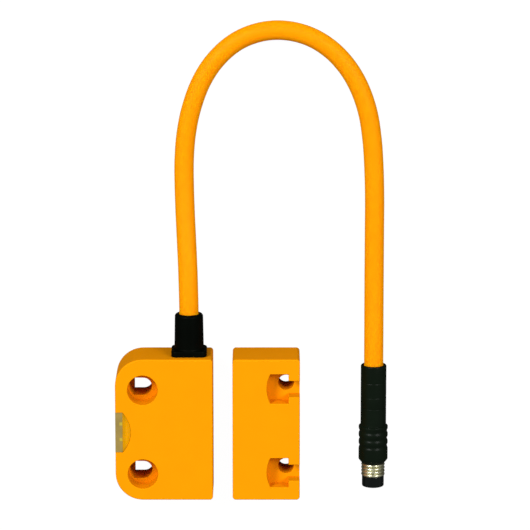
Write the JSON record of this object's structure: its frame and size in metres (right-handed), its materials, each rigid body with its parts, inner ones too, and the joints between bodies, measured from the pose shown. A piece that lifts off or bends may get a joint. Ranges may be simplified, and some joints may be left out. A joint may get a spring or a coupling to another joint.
{
  "type": "magnetic safety switch",
  "caption": "Coded magnetic safety switch: a slotted sensor housing with a looped cable and round plug, and its separate narrow actuator housing that a door carries.",
  "frame": {"origin": "middle of the sensor's flat mounting face", "axes": "+Z from the mounting faces to the front faces, +X from the sensor across to the actuator, +Y along the housings towards the cable gland"},
  "size_m": [0.0679, 0.1188, 0.013],
  "materials": {
    "housing": "fine satin moulded plastic, yellow-orange",
    "resin": "cast resin, satin black",
    "window": "smoky clear plastic, polished",
    "board": "green solder mask",
    "lamp": "clear yellow lamp",
    "reed_glass": "clear glass",
    "reed_metal": "bare nickel-iron",
    "resistor": "black coated chip with tinned ends",
    "wire_brown": "brown wire insulation",
    "wire_white": "white wire insulation",
    "wire_blue": "blue wire insulation",
    "wire_black": "black wire insulation",
    "black_rubber": "black overmoulded elastomer, satin",
    "cable_jacket": "yellow-orange cable sheath, satin",
    "ring_metal": "turned and plated metal",
    "insert_plastic": "black glass-filled plastic, smooth",
    "contact_metal": "gold-plated contact pins",
    "plate": "dark moulded carrier plate",
    "magnet": "sintered magnet, dark grey"
  },
  "bodies": {
    "root": {"sensor_housing": "housing", "actuator_housing": "housing", "sensor_resin": "resin", "actuator_resin": "resin", "status_window": "window", "circuit_board": "board", "lamp_upper": "lamp", "lamp_lower": "lamp", "reed_glass_upper": "reed_glass", "reed_glass_lower": "reed_glass", "reed_glass_inner": "reed_glass", "reed_blade_upper_a": "reed_metal", "reed_blade_upper_b": "reed_metal", "reed_blade_lower_a": "reed_metal", "reed_blade_lower_b": "reed_metal", "reed_blade_inner_a": "reed_metal", "reed_blade_inner_b": "reed_metal", "resistor_1": "resistor", "resistor_2": "resistor", "resistor_3": "resistor", "lead_brown": "wire_brown", "core_brown": "wire_brown", "lead_white": "wire_white", "core_white": "wire_white", "lead_blue": "wire_blue", "core_blue": "wire_blue", "lead_black": "wire_black", "core_black": "wire_black", "cable_gland": "black_rubber", "plug_body": "black_rubber", "cable": "cable_jacket", "plug_ring": "ring_metal", "plug_insert": "insert_plastic", "contact_pin_1": "contact_metal", "contact_pin_2": "contact_metal", "contact_pin_3": "contact_metal", "contact_pin_4": "contact_metal", "magnet_plate": "plate", "magnet_upper": "magnet", "magnet_middle": "magnet", "magnet_lower": "magnet"}
  },
  "joints": []
}
